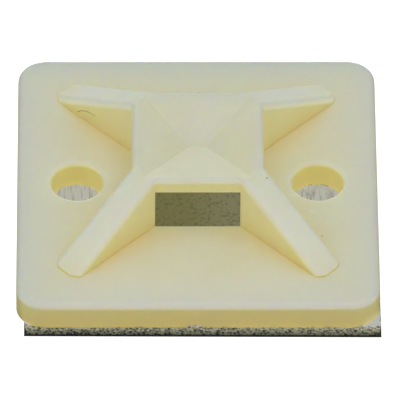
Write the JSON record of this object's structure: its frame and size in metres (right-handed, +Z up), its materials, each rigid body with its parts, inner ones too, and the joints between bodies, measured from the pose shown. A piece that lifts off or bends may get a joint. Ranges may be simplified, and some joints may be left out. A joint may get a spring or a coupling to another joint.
{
  "type": "cable tie mount",
  "caption": "Square adhesive cable tie mount: nylon plate with screw holes and a raised dished saddle on diagonal legs that takes a tie either way, on a foam pad with liner.",
  "frame": {"origin": "centre of the plate, on the underside of the liner, where the mount meets the surface", "axes": "+Z up from the surface, +X through both screw holes"},
  "size_m": [0.0281, 0.028, 0.0083],
  "materials": {
    "nylon": "injection-moulded natural nylon, satin, slightly translucent",
    "foam": "grey cellular foam, cut edges",
    "liner": "thin dark release film, satin"
  },
  "bodies": {
    "root": {"mount_body": "nylon", "foam_pad": "foam", "release_liner": "liner"}
  },
  "joints": []
}
